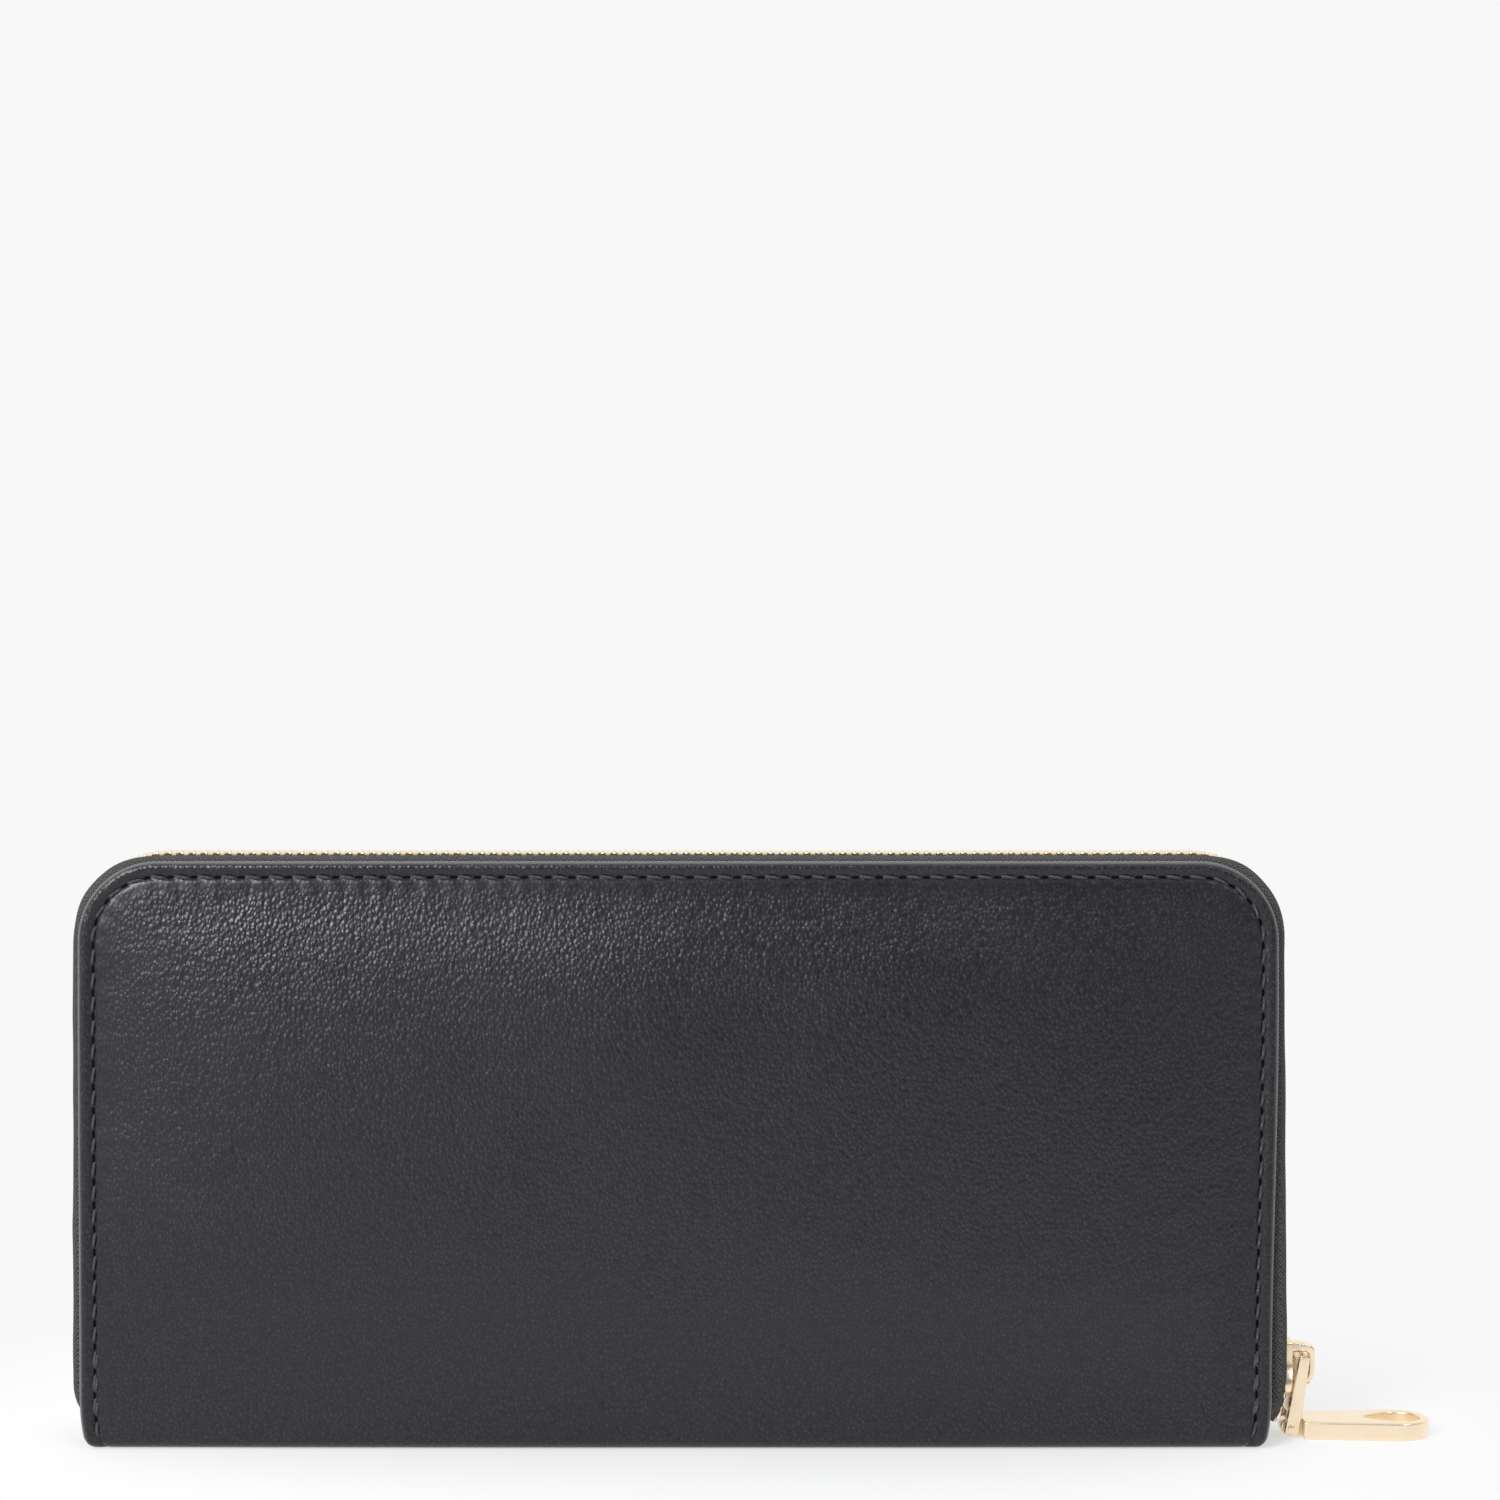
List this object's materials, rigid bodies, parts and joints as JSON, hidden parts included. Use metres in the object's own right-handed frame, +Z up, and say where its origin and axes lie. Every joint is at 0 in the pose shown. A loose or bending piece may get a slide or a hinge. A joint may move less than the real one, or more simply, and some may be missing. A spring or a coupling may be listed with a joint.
{
  "type": "zip around wallet",
  "caption": "Long leather wallet standing shut on its spine, closed around three sides by a metal zip with a hinged pull tab.",
  "frame": {"origin": "middle of the spine's flat underside", "axes": "+X along the spine towards the zip pull, +Z up, -Y towards the rear cover"},
  "size_m": [0.225, 0.025, 0.0973],
  "materials": {
    "leather": "black pebbled, semi-matt",
    "lining": "black twill",
    "board": "plain",
    "foam": "thin padding",
    "zip_tape": "woven charcoal",
    "thread": "black thread",
    "gold": "pale gold plate",
    "spring_steel": "plain",
    "nylon": "black coil"
  },
  "bodies": {
    "spine": {"spine_leather": "leather", "spine_board": "board", "spine_lining": "lining", "coin_pocket_bag": "lining", "coin_pocket_rear_wall": "leather", "coin_pocket_front_wall": "leather", "coin_zip_rear_tape": "zip_tape", "coin_zip_front_tape": "zip_tape", "coin_zip_rear_coil": "nylon", "coin_zip_front_coil": "nylon", "rear_gusset_pull_end": "lining", "rear_gusset_far_end": "lining", "front_gusset_pull_end": "lining", "front_gusset_far_end": "lining"},
    "rear_half": {"rear_cover": "leather", "rear_padding": "foam", "rear_board": "board", "rear_lining": "lining", "rear_stitching": "thread", "rear_slip_pocket": "leather", "rear_card_pocket_1": "leather", "rear_card_pocket_2": "leather", "rear_card_pocket_3": "leather", "rear_zip_tape": "zip_tape", "rear_zip_teeth_pull_end": "gold", "rear_zip_teeth_top": "gold", "rear_zip_teeth_far_end": "gold"},
    "front_half": {"front_cover": "leather", "front_padding": "foam", "front_board": "board", "front_lining": "lining", "front_stitching": "thread", "front_slip_pocket": "leather", "front_card_pocket_1": "leather", "front_card_pocket_2": "leather", "front_card_pocket_3": "leather", "front_zip_tape": "zip_tape", "front_zip_teeth_pull_end": "gold", "front_zip_teeth_top": "gold", "front_zip_teeth_far_end": "gold"},
    "slider": {"zip_slider": "gold", "slider_crown": "gold", "slider_lock_spring": "spring_steel"},
    "link": {"pull_link": "gold", "link_pin": "gold"},
    "tab": {"pull_tab": "gold"},
    "coin_slider": {"coin_zip_slider": "gold"},
    "coin_tab": {"coin_pull_tab": "gold"}
  },
  "joints": [
    {"name": "rear_cover_swing", "type": "hinge", "parent": "spine", "child": "rear_half", "pos_m": [0, -0.0113, 0.00245], "axis": [1, 0, 0], "range_deg": [0, 30], "deforming": ["rear_zip_teeth_pull_end", "front_zip_teeth_pull_end", "rear_zip_teeth_far_end", "front_zip_teeth_far_end", "rear_gusset_pull_end", "rear_gusset_far_end", "front_gusset_pull_end", "front_gusset_far_end"]},
    {"name": "front_cover_swing", "type": "hinge", "parent": "spine", "child": "front_half", "pos_m": [0, 0.0113, 0.00245], "axis": [-1, 0, 0], "range_deg": [0, 30]},
    {"name": "zip_slide", "type": "slide", "parent": "rear_half", "child": "slider", "axis": [-0.0068, 0, 1], "range_m": [0, 0.064]},
    {"name": "link_swing", "type": "hinge", "parent": "slider", "child": "link", "pos_m": [0.10355, 0, 0.01285], "axis": [0, -1, 0], "range_deg": [0, 120]},
    {"name": "tab_swing", "type": "hinge", "parent": "link", "child": "tab", "pos_m": [0.10136, 0, 0.0015], "axis": [0, 1, 0], "range_deg": [0, 100]},
    {"name": "coin_zip_slide", "type": "slide", "parent": "spine", "child": "coin_slider", "axis": [-1, 0, 0], "range_m": [0, 0.13], "deforming": ["coin_zip_rear_coil", "coin_zip_front_coil"]},
    {"name": "coin_tab_swing", "type": "hinge", "parent": "coin_slider", "child": "coin_tab", "pos_m": [0.06878, 0, 0.08009], "axis": [0, 1, 0], "range_deg": [0, 170]}
  ],
  "couplings": [
    {"joint": "front_cover_swing", "follows": "rear_cover_swing", "ratio": 1}
  ]
}
